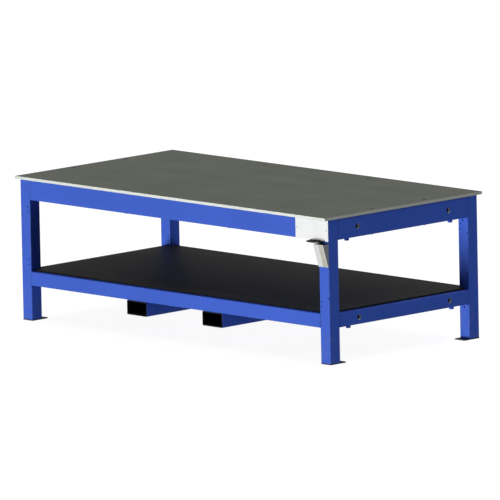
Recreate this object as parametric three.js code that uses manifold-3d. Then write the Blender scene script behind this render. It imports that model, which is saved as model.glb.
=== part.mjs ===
// Assembly table: a thick steel top plate on a welded tube frame, with a shelf, two fork pockets,
// a bare corner plate, and a bottle opener with its cap catcher at the front right leg.
// Millimetres. +X runs along the table to the right, -Y is the front, +Z is up.
// The origin is on the floor under the middle of the table.
import * as THREE from "three";
import { mergeVertices } from "three/addons/utils/BufferGeometryUtils.js";
import Module from "manifold-3d";

const wasm = await Module();
wasm.setup();

// Overall sizes
const TABLE_LENGTH = 2400;
const TABLE_WIDTH = 1200;
const TABLE_HEIGHT = 800;
const TOP_THICKNESS = 16;
const OVERHANG_ENDS = 5;
const OVERHANG_FRONT = 33;

// Frame tubes
const LEG_SIZE = 75;
const TUBE_WALL = 4;
const RAIL_WIDTH = 75;
const TOP_RAIL_HEIGHT = 115;
const SHELF_RAIL_HEIGHT = 78;
const SHELF_RAIL_BOTTOM = 195;
const JOIST_WIDTH = 50;
const TOP_JOIST_HEIGHT = 75;
const TOP_JOIST_X = 400;

// Foot plates: as wide as a leg, longer towards the middle of the table, with an anchor hole there
const FOOT_THICKNESS = 6;
const FOOT_REACH = 42;
const ANCHOR_HOLE = 14;

// Fork pockets, front to back under the shelf rails
const POCKET_WIDTH = 154;
const POCKET_HEIGHT = 79;
const POCKET_WALL = 5;
const POCKET_X = 293;

// Shelf board, set back from the rails' outer faces and notched around the legs
const SHELF_THICKNESS = 9;
const SHELF_SETBACK = 30;
const SHELF_NOTCH_GAP = 2;

// Holes through the legs, front to back: a pair and a single hole off each rail
const LEG_PAIR_HOLE = 8;
const LEG_PAIR_FROM_INNER = 17;
const LEG_PAIR_FROM_RAIL = [39, 66];
const LEG_SINGLE_HOLE = 8;
const LEG_SINGLE_FROM_OUTER = 8.5;
const LEG_SINGLE_FROM_RAIL = 86;

// Tie hole in each leg's inner wall, just under each side rail
const TIE_HOLE = 10;
const TIE_HOLE_BELOW_RAIL = 18;

// Top bolts: countersunk, through the plate and both walls of a rail
const TOP_BOLT = 10;
const TOP_BOLT_HEAD = 20;
const TOP_BOLT_RIM = 1;
const TOP_BOLT_SOCKET = 7;
const TOP_BOLT_SOCKET_DEPTH = 4;
const TOP_BOLT_OUT = 9;
const TOP_BOLT_LONG_X = 400;
const TOP_BOLT_SIDE_Y = 200;

// Flanged bolts, heads down, in the floor of the side rails
const RAIL_BOLT = 16;
const RAIL_BOLT_FLANGE = 34;
const RAIL_BOLT_FLANGE_HEIGHT = 4;
const RAIL_BOLT_ACROSS_FLATS = 24;
const RAIL_BOLT_HEX_HEIGHT = 13;
const RAIL_BOLT_INSIDE = 14;
const RAIL_BOLT_FROM_LEG = 99;

// Bare sleeves in the outer wall of the side rails
const BUSH_OUTER = 34;
const BUSH_BORE = 29;
const BUSH_LENGTH = 18;
const BUSH_FROM_LEG = 147;

// Corner plate over the front top rail's right end and the leg
const CORNER_PLATE_LENGTH = 247;
const CORNER_PLATE_THICKNESS = 2;
const RIVET = 4.8;
const RIVET_HEAD = 9;
const RIVET_HEAD_HEIGHT = 2;
const RIVET_TAIL = 2;
const RIVET_FROM_LEFT = 8;
const RIVET_FROM_RIGHT = 12;

// Bottle opener: a flat lip screwed under the front top rail, beside the right leg
const OPENER_THICKNESS = 4;
const OPENER_HALF_WIDTH = 56;
const OPENER_REACH = 58;
const OPENER_LEFT_OF_LEG = 8;
const OPENER_TAIL = 62;
const OPENER_ROUNDNESS = 2.4;
const CAP_HOLE = 30;
const CAP_HOLE_RIGHT_OF_EDGE = 20;
const CAP_HOLE_FORWARD = 30;
const CAP_TOOTH_WIDTH = 8;
const CAP_TOOTH_LENGTH = 5;
const OPENER_SCREW = 6;
const OPENER_SCREW_HEAD = 11;
const OPENER_SCREW_HEAD_HEIGHT = 3;
const OPENER_SCREW_INSIDE = 6;
const OPENER_SCREW_LEFT_OF_LEG = [16, 48];
const OPENER_SCREW_BACK = 35;

// Cap catcher: a wedge of sheet metal, open at the top, hung by two keyholes on two shoulder screws
const CATCHER_WIDTH = 75;
const CATCHER_HEIGHT = 126;
const CATCHER_MOUTH = 44;
const CATCHER_TOE = 6;
const CATCHER_SHEET = 1.5;
const CATCHER_LIFT = 8;
const CATCHER_SCREW = 4.5;
const CATCHER_SCREW_HEAD = 8;
const CATCHER_SCREW_HEAD_HEIGHT = 2.5;
const CATCHER_SCREW_SPACING = 40;
const CATCHER_SCREW_BELOW_MOUTH = 40;
const KEYHOLE_GAP = 1;

// Clearances: the seam between welded or resting faces, the fit of a fastener in its hole, the running
// gap of the catcher on its screws, and what is left between the lifted catcher and the opener
const SEAM = 0.2;
const FIT = 0.4;
const RUNNING_GAP = 0.3;
const LIFT_GAP = 0.8;

// Facets of round pieces, and how far a cutter reaches past the face that it cuts
const ROUND_SIDES = 12;
const SMALL_SIDES = 8;
const BUSH_SIDES = 16;
const CUT_PAST = 2;
const MERGE_DISTANCE = 1e-4;

// Places that follow from the sizes above
const frameX = TABLE_LENGTH / 2 - OVERHANG_ENDS;
const frameY = TABLE_WIDTH / 2 - OVERHANG_FRONT;
const legX = frameX - LEG_SIZE / 2;
const legY = frameY - LEG_SIZE / 2;
const innerX = frameX - LEG_SIZE;
const innerY = frameY - LEG_SIZE;
const railX = frameX - RAIL_WIDTH / 2;
const railY = frameY - RAIL_WIDTH / 2;
const plateBottom = TABLE_HEIGHT - TOP_THICKNESS;
const frameTop = plateBottom - SEAM;
const topRailBottom = frameTop - TOP_RAIL_HEIGHT;
const topRailMiddle = frameTop - TOP_RAIL_HEIGHT / 2;
const shelfRailTop = SHELF_RAIL_BOTTOM + SHELF_RAIL_HEIGHT;
const shelfRailMiddle = SHELF_RAIL_BOTTOM + SHELF_RAIL_HEIGHT / 2;
const bushY = innerY - BUSH_FROM_LEG;
const railBoltY = innerY - RAIL_BOLT_FROM_LEG;
const openerTop = topRailBottom - SEAM;
const openerBottom = openerTop - OPENER_THICKNESS;
const openerScrewY = -frameY + OPENER_SCREW_BACK;
const cornerPlateLeft = frameX - CORNER_PLATE_LENGTH;
const rivetLeftX = cornerPlateLeft + RIVET_FROM_LEFT;
const rivetRightX = frameX - RIVET_FROM_RIGHT;
const catcherTop = openerBottom - CATCHER_LIFT - LIFT_GAP;
const catcherScrewZ = catcherTop - CATCHER_SCREW_BELOW_MOUTH;

const SIDES_X = [
  ["left", -1],
  ["right", 1],
];
const SIDES_Y = [
  ["front", -1],
  ["back", 1],
];

const FINISHES = {
  framePaint: { color: 0x3052b8, roughness: 0.42, metalness: 0 },
  topSteel: { color: 0x8a8d86, roughness: 0.45, metalness: 1 },
  blackPaint: { color: 0x161616, roughness: 0.6, metalness: 0 },
  shelfFilm: { color: 0x2a2827, roughness: 0.55, metalness: 0 },
  bareSteel: { color: 0xa9adb0, roughness: 0.35, metalness: 1 },
  plateMetal: { color: 0xdfe2e4, roughness: 0.35, metalness: 1 },
  catcherSteel: { color: 0xb9bab4, roughness: 0.32, metalness: 1 },
  darkSteel: { color: 0x2c2d2d, roughness: 0.4, metalness: 1 },
};

const table = new THREE.Group();

function place(name, geometry, finish, x, y, z) {
  const mesh = new THREE.Mesh(geometry, new THREE.MeshStandardMaterial(FINISHES[finish]));
  mesh.name = name;
  mesh.position.set(x, y, z);
  table.add(mesh);
}

// A closed geometry as a solid that can be joined and cut
function solidOf(geometry, x = 0, y = 0, z = 0) {
  const bare = geometry.clone().translate(x, y, z);
  bare.deleteAttribute("normal");
  bare.deleteAttribute("uv");
  const merged = mergeVertices(bare, MERGE_DISTANCE);
  return new wasm.Manifold(
    new wasm.Mesh({
      numProp: 3,
      vertProperties: merged.attributes.position.array,
      triVerts: new Uint32Array(merged.index.array),
    }),
  );
}

function geometryOf(solid) {
  const mesh = solid.getMesh();
  const geometry = new THREE.BufferGeometry();
  geometry.setAttribute("position", new THREE.BufferAttribute(mesh.vertProperties, 3));
  geometry.setIndex(new THREE.BufferAttribute(mesh.triVerts, 1));
  geometry.computeVertexNormals();
  return geometry;
}

function cut(geometry, cutters) {
  return geometryOf(cutters.reduce((solid, cutter) => solid.subtract(cutter), solidOf(geometry)));
}

// Turns a geometry made along Y so that it runs along another axis
function turned(geometry, axis) {
  if (axis === "x") return geometry.rotateZ(-Math.PI / 2);
  if (axis === "z") return geometry.rotateX(Math.PI / 2);
  return geometry;
}

function rod(diameter, length, axis, sides = ROUND_SIDES) {
  return turned(new THREE.CylinderGeometry(diameter / 2, diameter / 2, length, sides), axis);
}

// A round piece from its half outline: pairs of diameter and height along the axis
function lathed(outline, axis, sides = ROUND_SIDES) {
  const points = outline.map(([diameter, height]) => new THREE.Vector2(diameter / 2, height));
  return turned(new THREE.LatheGeometry(points, sides), axis);
}

function hole(diameter, length, axis, x, y, z, sides = ROUND_SIDES) {
  return solidOf(rod(diameter, length, axis, sides), x, y, z);
}

function rectangle(width, height, PathType = THREE.Shape) {
  const path = new PathType();
  path.moveTo(-width / 2, -height / 2);
  path.lineTo(width / 2, -height / 2);
  path.lineTo(width / 2, height / 2);
  path.lineTo(-width / 2, height / 2);
  path.closePath();
  return path;
}

// A box tube with open ends, centred on the origin, its height along Z unless it stands upright
function boxTube(width, height, wall, length, axis) {
  const section = rectangle(width, height);
  section.holes.push(rectangle(width - 2 * wall, height - 2 * wall, THREE.Path));
  const geometry = new THREE.ExtrudeGeometry(section, { depth: length, bevelEnabled: false });
  geometry.translate(0, 0, -length / 2);
  if (axis === "y") geometry.rotateX(Math.PI / 2);
  if (axis === "x") geometry.rotateX(Math.PI / 2).rotateZ(Math.PI / 2);
  return geometry;
}

// Half outline of a top bolt, from its end up to the head; extra grows it into a cutter
function topBoltOutline(extra) {
  const top = TABLE_HEIGHT - SEAM;
  const coneDepth = (TOP_BOLT_HEAD - TOP_BOLT) / 2;
  return [
    [0, topRailBottom - TOP_BOLT_OUT],
    [TOP_BOLT + 2 * extra, topRailBottom - TOP_BOLT_OUT],
    [TOP_BOLT + 2 * extra, top - TOP_BOLT_RIM - coneDepth],
    [TOP_BOLT_HEAD + 2 * extra, top - TOP_BOLT_RIM],
  ];
}

function topBolt() {
  const top = TABLE_HEIGHT - SEAM;
  const head = [
    [TOP_BOLT_HEAD, top],
    [TOP_BOLT_SOCKET, top],
    [TOP_BOLT_SOCKET, top - TOP_BOLT_SOCKET_DEPTH],
    [0, top - TOP_BOLT_SOCKET_DEPTH],
  ];
  return lathed([...topBoltOutline(0), ...head], "z");
}

function topBoltCutter(x, y) {
  const above = TABLE_HEIGHT + CUT_PAST;
  const head = [
    [TOP_BOLT_HEAD + 2 * FIT, above],
    [0, above],
  ];
  return solidOf(lathed([...topBoltOutline(FIT), ...head], "z"), x, y, 0);
}

// Places of the top bolts: two over each rail
const topBoltPlaces = [];
for (const [nameY, sideY] of SIDES_Y) {
  for (const [nameX, sideX] of SIDES_X) {
    topBoltPlaces.push([`${nameY}_rail_${nameX}`, sideX * TOP_BOLT_LONG_X, sideY * railY]);
    topBoltPlaces.push([`${nameX}_rail_${nameY}`, sideX * railX, sideY * TOP_BOLT_SIDE_Y]);
  }
}

// Top plate and its bolts
function addTop() {
  const sheet = new THREE.BoxGeometry(TABLE_LENGTH, TABLE_WIDTH, TOP_THICKNESS);
  sheet.translate(0, 0, plateBottom + TOP_THICKNESS / 2);
  const cutters = topBoltPlaces.map(([, x, y]) => topBoltCutter(x, y));
  place("top_plate", cut(sheet, cutters), "topSteel", 0, 0, 0);
  for (const [name, x, y] of topBoltPlaces) {
    place(`top_bolt_${name}`, topBolt(), "bareSteel", x, y, 0);
  }
}

// Holes of one leg, around the leg's own axis
function legCutters(sideX, sideY) {
  const pairX = sideX * (LEG_PAIR_FROM_INNER - LEG_SIZE / 2);
  const singleX = sideX * (LEG_SIZE / 2 - LEG_SINGLE_FROM_OUTER);
  const through = LEG_SIZE + 2 * CUT_PAST;
  const cutters = [];
  for (const offset of LEG_PAIR_FROM_RAIL) {
    for (const z of [topRailBottom - offset, shelfRailTop + offset]) {
      cutters.push(hole(LEG_PAIR_HOLE, through, "y", pairX, 0, z, SMALL_SIDES));
    }
  }
  for (const z of [topRailBottom - LEG_SINGLE_FROM_RAIL, shelfRailTop + LEG_SINGLE_FROM_RAIL]) {
    cutters.push(hole(LEG_SINGLE_HOLE, through, "y", singleX, 0, z, SMALL_SIDES));
  }
  const innerWallY = -sideY * (LEG_SIZE - TUBE_WALL) / 2;
  for (const railBottom of [topRailBottom, SHELF_RAIL_BOTTOM]) {
    const z = railBottom - TIE_HOLE_BELOW_RAIL;
    cutters.push(hole(TIE_HOLE, TUBE_WALL + 2 * CUT_PAST, "y", 0, innerWallY, z, SMALL_SIDES));
  }
  return cutters;
}

// Holes in the front wall of the front right leg, for the catcher's screws and the plate's rivet
function frontRightLegCutters() {
  const wallY = -(LEG_SIZE - TUBE_WALL) / 2;
  const depth = TUBE_WALL + 2 * CUT_PAST;
  const screwHole = CATCHER_SCREW + 2 * FIT;
  const cutters = catcherScrewPlaces().map(([, x]) =>
    hole(screwHole, depth, "y", x, wallY, catcherScrewZ, SMALL_SIDES),
  );
  const rivetX = rivetRightX - legX;
  cutters.push(hole(RIVET + 2 * FIT, depth, "y", rivetX, wallY, topRailMiddle, SMALL_SIDES));
  return cutters;
}

// Legs and their foot plates
function addLegs() {
  const legBottom = FOOT_THICKNESS + SEAM;
  const legLength = frameTop - legBottom;
  const footLength = LEG_SIZE + FOOT_REACH;
  for (const [nameY, sideY] of SIDES_Y) {
    for (const [nameX, sideX] of SIDES_X) {
      const tube = boxTube(LEG_SIZE, LEG_SIZE, TUBE_WALL, legLength, "z");
      tube.translate(0, 0, legBottom + legLength / 2);
      const cutters = legCutters(sideX, sideY);
      if (sideX > 0 && sideY < 0) cutters.push(...frontRightLegCutters());
      place(`leg_${nameY}_${nameX}`, cut(tube, cutters), "framePaint", sideX * legX, sideY * legY, 0);

      const foot = new THREE.BoxGeometry(LEG_SIZE, footLength, FOOT_THICKNESS);
      const anchorY = -sideY * (footLength - FOOT_REACH) / 2;
      const anchor = hole(ANCHOR_HOLE, FOOT_THICKNESS + 2 * CUT_PAST, "z", 0, anchorY, 0);
      const footY = sideY * (frameY - footLength / 2);
      place(`foot_plate_${nameY}_${nameX}`, cut(foot, [anchor]), "blackPaint",
        sideX * legX, footY, FOOT_THICKNESS / 2);
    }
  }
}

// Rails along the table; their cutters are around the rail's own centre
function addLongRails() {
  const length = 2 * (innerX - SEAM);
  const through = TOP_RAIL_HEIGHT + 2 * CUT_PAST;
  for (const [nameY, sideY] of SIDES_Y) {
    const cutters = SIDES_X.map(([, sideX]) =>
      hole(TOP_BOLT + 2 * FIT, through, "z", sideX * TOP_BOLT_LONG_X, 0, 0),
    );
    if (sideY < 0) cutters.push(...openerScrewHoles(), rivetHoleInRail());
    const topRail = boxTube(RAIL_WIDTH, TOP_RAIL_HEIGHT, TUBE_WALL, length, "x");
    place(`top_rail_${nameY}`, cut(topRail, cutters), "framePaint", 0, sideY * railY, topRailMiddle);

    const shelfRail = boxTube(RAIL_WIDTH, SHELF_RAIL_HEIGHT, TUBE_WALL, length, "x");
    place(`shelf_rail_${nameY}`, shelfRail, "framePaint", 0, sideY * railY, shelfRailMiddle);
  }
}

function openerScrewHoles() {
  const wallZ = -(TOP_RAIL_HEIGHT - TUBE_WALL) / 2;
  const depth = TUBE_WALL + 2 * CUT_PAST;
  return openerScrewPlaces().map(([, x]) =>
    hole(OPENER_SCREW + 2 * FIT, depth, "z", x, openerScrewY + railY, wallZ, SMALL_SIDES),
  );
}

function rivetHoleInRail() {
  const wallY = -(RAIL_WIDTH - TUBE_WALL) / 2;
  return hole(RIVET + 2 * FIT, TUBE_WALL + 2 * CUT_PAST, "y", rivetLeftX, wallY, 0, SMALL_SIDES);
}

// Bush holes in the outer wall and bolt holes in the floor of a side rail
function sideRailCutters(sideX, height) {
  const depth = TUBE_WALL + 2 * CUT_PAST;
  const wallX = sideX * (RAIL_WIDTH - TUBE_WALL) / 2;
  const wallZ = -(height - TUBE_WALL) / 2;
  return SIDES_Y.flatMap(([, sideY]) => [
    hole(BUSH_OUTER + 2 * FIT, depth, "x", wallX, sideY * bushY, 0, BUSH_SIDES),
    hole(RAIL_BOLT + 2 * FIT, depth, "z", 0, sideY * railBoltY, wallZ),
  ]);
}

// Rails across the table's ends, with their bushes and flanged bolts
function addSideRails() {
  const length = 2 * (innerY - SEAM);
  for (const [nameX, sideX] of SIDES_X) {
    const topBoltHoles = SIDES_Y.map(([, sideY]) =>
      hole(TOP_BOLT + 2 * FIT, TOP_RAIL_HEIGHT + 2 * CUT_PAST, "z", 0, sideY * TOP_BOLT_SIDE_Y, 0),
    );
    const topTube = boxTube(RAIL_WIDTH, TOP_RAIL_HEIGHT, TUBE_WALL, length, "y");
    const topRail = cut(topTube, [...sideRailCutters(sideX, TOP_RAIL_HEIGHT), ...topBoltHoles]);
    place(`top_rail_${nameX}`, topRail, "framePaint", sideX * railX, 0, topRailMiddle);

    const shelfTube = boxTube(RAIL_WIDTH, SHELF_RAIL_HEIGHT, TUBE_WALL, length, "y");
    const shelfRail = cut(shelfTube, sideRailCutters(sideX, SHELF_RAIL_HEIGHT));
    place(`shelf_rail_${nameX}`, shelfRail, "framePaint", sideX * railX, 0, shelfRailMiddle);

    const levels = [
      ["upper", topRailMiddle, topRailBottom],
      ["lower", shelfRailMiddle, SHELF_RAIL_BOTTOM],
    ];
    for (const [level, middle, bottom] of levels) {
      for (const [nameY, sideY] of SIDES_Y) {
        const bushX = sideX * (frameX - BUSH_LENGTH / 2);
        place(`side_bush_${nameX}_${level}_${nameY}`, bush(), "bareSteel", bushX, sideY * bushY, middle);
        place(`rail_bolt_${nameX}_${level}_${nameY}`, railBolt(), "framePaint",
          sideX * railX, sideY * railBoltY, bottom - SEAM);
      }
    }
  }
}

// A sleeve along X
function bush() {
  const outside = solidOf(rod(BUSH_OUTER, BUSH_LENGTH, "x", BUSH_SIDES));
  return geometryOf(outside.subtract(hole(BUSH_BORE, BUSH_LENGTH + 2 * CUT_PAST, "x", 0, 0, 0, BUSH_SIDES)));
}

// A flanged hexagon bolt, head down, its seat at the origin
function railBolt() {
  const inside = SEAM + TUBE_WALL + RAIL_BOLT_INSIDE;
  const shank = lathed(
    [
      [0, -RAIL_BOLT_FLANGE_HEIGHT],
      [RAIL_BOLT_FLANGE, -RAIL_BOLT_FLANGE_HEIGHT],
      [RAIL_BOLT_FLANGE, 0],
      [RAIL_BOLT, 0],
      [RAIL_BOLT, inside],
      [0, inside],
    ],
    "z",
  );
  const acrossCorners = RAIL_BOLT_ACROSS_FLATS / Math.cos(Math.PI / 6);
  const hexagon = rod(acrossCorners, RAIL_BOLT_HEX_HEIGHT, "z", 6);
  const hexagonZ = -RAIL_BOLT_FLANGE_HEIGHT - RAIL_BOLT_HEX_HEIGHT / 2;
  return geometryOf(solidOf(shank).add(solidOf(hexagon, 0, 0, hexagonZ)));
}

// Cross tubes: under the top plate, and under the shelf over the fork pockets; and the pockets
function addCrossTubes() {
  const length = 2 * (frameY - RAIL_WIDTH - SEAM);
  for (const [nameX, sideX] of SIDES_X) {
    const topJoist = boxTube(JOIST_WIDTH, TOP_JOIST_HEIGHT, TUBE_WALL, length, "y");
    place(`top_joist_${nameX}`, topJoist, "framePaint",
      sideX * TOP_JOIST_X, 0, frameTop - TOP_JOIST_HEIGHT / 2);

    const shelfJoist = boxTube(JOIST_WIDTH, SHELF_RAIL_HEIGHT, TUBE_WALL, length, "y");
    place(`shelf_joist_${nameX}`, shelfJoist, "framePaint", sideX * POCKET_X, 0, shelfRailMiddle);

    const pocket = boxTube(POCKET_WIDTH, POCKET_HEIGHT, POCKET_WALL, 2 * frameY, "y");
    const pocketZ = SHELF_RAIL_BOTTOM - SEAM - POCKET_HEIGHT / 2;
    place(`fork_pocket_${nameX}`, pocket, "framePaint", sideX * POCKET_X, 0, pocketZ);
  }
}

// Shelf board lying on the shelf rails and joists
function addShelf() {
  const outerX = frameX - SHELF_SETBACK;
  const outerY = frameY - SHELF_SETBACK;
  const notchX = innerX - SHELF_NOTCH_GAP;
  const notchY = innerY - SHELF_NOTCH_GAP;
  const outline = new THREE.Shape([
    new THREE.Vector2(-notchX, -outerY),
    new THREE.Vector2(notchX, -outerY),
    new THREE.Vector2(notchX, -notchY),
    new THREE.Vector2(outerX, -notchY),
    new THREE.Vector2(outerX, notchY),
    new THREE.Vector2(notchX, notchY),
    new THREE.Vector2(notchX, outerY),
    new THREE.Vector2(-notchX, outerY),
    new THREE.Vector2(-notchX, notchY),
    new THREE.Vector2(-outerX, notchY),
    new THREE.Vector2(-outerX, -notchY),
    new THREE.Vector2(-notchX, -notchY),
  ]);
  const board = new THREE.ExtrudeGeometry(outline, { depth: SHELF_THICKNESS, bevelEnabled: false });
  place("shelf_panel", board, "shelfFilm", 0, 0, shelfRailTop + SEAM);
}

// Corner plate and its two rivets
function addCornerPlate() {
  const plateX = frameX - CORNER_PLATE_LENGTH / 2;
  const plateY = -frameY - SEAM - CORNER_PLATE_THICKNESS / 2;
  const sheet = new THREE.BoxGeometry(CORNER_PLATE_LENGTH, CORNER_PLATE_THICKNESS, TOP_RAIL_HEIGHT);
  const rivets = [
    ["left", rivetLeftX],
    ["right", rivetRightX],
  ];
  const depth = CORNER_PLATE_THICKNESS + 2 * CUT_PAST;
  const holes = rivets.map(([, x]) => hole(RIVET + 2 * FIT, depth, "y", x - plateX, 0, 0, SMALL_SIDES));
  place("corner_plate", cut(sheet, holes), "plateMetal", plateX, plateY, topRailMiddle);

  const seatY = -frameY - 2 * SEAM - CORNER_PLATE_THICKNESS;
  const tail = 2 * SEAM + CORNER_PLATE_THICKNESS + TUBE_WALL + RIVET_TAIL;
  for (const [name, x] of rivets) {
    const rivet = lathed(
      [
        [0, -RIVET_HEAD_HEIGHT],
        [RIVET_HEAD / 2, -RIVET_HEAD_HEIGHT],
        [RIVET_HEAD, 0],
        [RIVET, 0],
        [RIVET, tail],
        [0, tail],
      ],
      "y",
      SMALL_SIDES,
    );
    place(`plate_rivet_${name}`, rivet, "bareSteel", x, seatY, topRailMiddle);
  }
}

function openerScrewPlaces() {
  const [right, left] = OPENER_SCREW_LEFT_OF_LEG;
  return [
    ["left", innerX - left],
    ["right", innerX - right],
  ];
}

// The opener's outline, from the corner of the leg's inner face and the rail's outer face
function openerOutline() {
  const middle = -OPENER_LEFT_OF_LEG;
  const power = 2 / OPENER_ROUNDNESS;
  const steps = 2 * ROUND_SIDES;
  const outline = new THREE.Shape();
  outline.moveTo(-RUNNING_GAP, OPENER_TAIL);
  outline.lineTo(middle - OPENER_HALF_WIDTH, OPENER_TAIL);
  for (let step = 0; step <= steps; step += 1) {
    const angle = Math.PI * (1 - step / steps);
    const across = Math.sign(Math.cos(angle)) * Math.abs(Math.cos(angle)) ** power;
    const forward = Math.abs(Math.sin(angle)) ** power;
    const reach = OPENER_REACH - RUNNING_GAP;
    outline.lineTo(middle + OPENER_HALF_WIDTH * across, -RUNNING_GAP - reach * forward);
  }
  outline.lineTo(-RUNNING_GAP, -RUNNING_GAP);
  outline.closePath();
  return outline;
}

// Bottle opener with the hole and tooth that grip a cap, and its screws
function addOpener() {
  const lip = new THREE.ExtrudeGeometry(openerOutline(), { depth: OPENER_THICKNESS, bevelEnabled: false });
  const through = OPENER_THICKNESS + 2 * CUT_PAST;
  const middleZ = OPENER_THICKNESS / 2;
  const capHole = hole(CAP_HOLE, through, "z", CAP_HOLE_RIGHT_OF_EDGE, -CAP_HOLE_FORWARD, middleZ);
  const toothRoot = CAP_TOOTH_LENGTH + CUT_PAST;
  const tooth = solidOf(
    new THREE.BoxGeometry(CAP_TOOTH_WIDTH, toothRoot, OPENER_THICKNESS),
    CAP_HOLE_RIGHT_OF_EDGE,
    -CAP_HOLE_FORWARD + CAP_HOLE / 2 - CAP_TOOTH_LENGTH + toothRoot / 2,
    middleZ,
  );
  const screwHoles = openerScrewPlaces().map(([, x]) =>
    hole(OPENER_SCREW + 2 * FIT, through, "z", x - innerX, OPENER_SCREW_BACK, middleZ, SMALL_SIDES),
  );
  const drilled = screwHoles.reduce((solid, cutter) => solid.subtract(cutter), solidOf(lip));
  const opener = geometryOf(drilled.subtract(capHole).add(tooth));
  place("bottle_opener", opener, "darkSteel", innerX, -frameY, openerBottom);

  const shankEnd = 2 * SEAM + OPENER_THICKNESS + TUBE_WALL + OPENER_SCREW_INSIDE;
  for (const [name, x] of openerScrewPlaces()) {
    const screw = lathed(
      [
        [0, -OPENER_SCREW_HEAD_HEIGHT],
        [OPENER_SCREW_HEAD, -OPENER_SCREW_HEAD_HEIGHT],
        [OPENER_SCREW_HEAD, 0],
        [OPENER_SCREW, 0],
        [OPENER_SCREW, shankEnd],
        [0, shankEnd],
      ],
      "z",
      SMALL_SIDES,
    );
    place(`opener_screw_${name}`, screw, "darkSteel", x, openerScrewY, openerBottom - SEAM);
  }
}

// Places of the catcher's screws, across from the leg's middle
function catcherScrewPlaces() {
  return SIDES_X.map(([name, sideX]) => [name, sideX * CATCHER_SCREW_SPACING / 2]);
}

// A wedge along X from its side outline: distances in front of the leg's face, and heights
function wedge(outline, width) {
  const shape = new THREE.Shape(outline.map(([forward, height]) => new THREE.Vector2(forward, height)));
  const geometry = new THREE.ExtrudeGeometry(shape, { depth: width, bevelEnabled: false });
  geometry.translate(0, 0, -width / 2);
  return geometry.rotateX(Math.PI / 2).rotateZ(-Math.PI / 2);
}

// A keyhole around the place where the screw rests: a slot down to a round hole that the head passes
function keyhole(x, z) {
  const depth = CATCHER_SHEET + 2 * CUT_PAST;
  const y = -RUNNING_GAP - CATCHER_SHEET / 2;
  const slotWidth = CATCHER_SCREW + 2 * FIT;
  const roundHole = CATCHER_SCREW_HEAD + 2 * KEYHOLE_GAP;
  const slot = solidOf(new THREE.BoxGeometry(slotWidth, depth, CATCHER_LIFT), x, y, z - CATCHER_LIFT / 2);
  return hole(slotWidth, depth, "y", x, y, z)
    .add(slot)
    .add(hole(roundHole, depth, "y", x, y, z - CATCHER_LIFT));
}

// Cap catcher and its shoulder screws, around the middle of the leg's front face
function addCatcher() {
  const back = RUNNING_GAP;
  const sheet = CATCHER_SHEET;
  const bottom = catcherTop - CATCHER_HEIGHT;
  const above = catcherTop + CUT_PAST;
  const slope = (CATCHER_MOUTH - CATCHER_TOE) / CATCHER_HEIGHT;
  const frontAt = (height) => CATCHER_TOE + slope * (height - bottom);
  const insideFrontAt = (height) => frontAt(height) - sheet * Math.hypot(1, slope);
  const outside = wedge(
    [
      [back, bottom],
      [CATCHER_TOE, bottom],
      [CATCHER_MOUTH, catcherTop],
      [back, catcherTop],
    ],
    CATCHER_WIDTH,
  );
  const inside = wedge(
    [
      [back + sheet, bottom + sheet],
      [insideFrontAt(bottom + sheet), bottom + sheet],
      [insideFrontAt(above), above],
      [back + sheet, above],
    ],
    CATCHER_WIDTH - 2 * sheet,
  );
  const keyholes = catcherScrewPlaces().map(([, x]) => keyhole(x, catcherScrewZ));
  place("cap_catcher", cut(outside, [solidOf(inside), ...keyholes]), "catcherSteel", legX, -frameY, 0);

  const seat = back + sheet + RUNNING_GAP;
  for (const [name, x] of catcherScrewPlaces()) {
    const screw = lathed(
      [
        [0, -seat - CATCHER_SCREW_HEAD_HEIGHT],
        [CATCHER_SCREW_HEAD, -seat - CATCHER_SCREW_HEAD_HEIGHT],
        [CATCHER_SCREW_HEAD, -seat],
        [CATCHER_SCREW, -seat],
        [CATCHER_SCREW, TUBE_WALL],
        [0, TUBE_WALL],
      ],
      "y",
      SMALL_SIDES,
    );
    place(`catcher_screw_${name}`, screw, "bareSteel", legX + x, -frameY, catcherScrewZ);
  }
}

addTop();
addLegs();
addLongRails();
addSideRails();
addCrossTubes();
addShelf();
addCornerPlate();
addOpener();
addCatcher();

export default table;
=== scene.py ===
import math

import bmesh
import bpy
from mathutils import Matrix, Vector


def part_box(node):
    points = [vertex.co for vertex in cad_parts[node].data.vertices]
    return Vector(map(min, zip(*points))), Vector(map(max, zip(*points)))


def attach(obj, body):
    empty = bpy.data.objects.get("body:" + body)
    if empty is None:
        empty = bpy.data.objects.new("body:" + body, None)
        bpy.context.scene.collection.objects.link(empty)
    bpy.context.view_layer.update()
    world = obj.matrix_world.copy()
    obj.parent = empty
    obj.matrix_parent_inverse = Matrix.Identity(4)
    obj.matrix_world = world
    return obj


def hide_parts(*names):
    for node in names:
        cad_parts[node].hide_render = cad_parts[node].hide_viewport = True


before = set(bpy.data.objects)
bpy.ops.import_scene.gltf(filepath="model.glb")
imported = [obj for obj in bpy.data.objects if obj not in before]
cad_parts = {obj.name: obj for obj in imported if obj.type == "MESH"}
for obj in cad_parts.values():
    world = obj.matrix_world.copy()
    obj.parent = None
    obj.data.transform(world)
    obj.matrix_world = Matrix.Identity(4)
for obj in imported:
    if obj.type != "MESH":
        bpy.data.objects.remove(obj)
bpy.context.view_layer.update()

scene = bpy.context.scene

TABLE = "table"
CATCHER = "cap_catcher"
AXES = "xyz"
SIDES = (("left", -1), ("right", 1))
ENDS = (("front", -1), ("back", 1))

# Facets: round a corner of a tube or sheet, round a bolt or hole, round a weld bead, and across a bevel
CORNER_STEPS = 6
ROUND = 48
BEAD_SIDES = 8
BEVEL_SEGMENTS = 2

# A face counts as flat, or as level, when its normal has more than this along an axis, or along Z
FLAT = 0.9995
LEVEL = 0.6

# The stretch of a noise's range in which most of it lies
MIDDLE = (0.3, 0.7)


# Node trees

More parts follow.
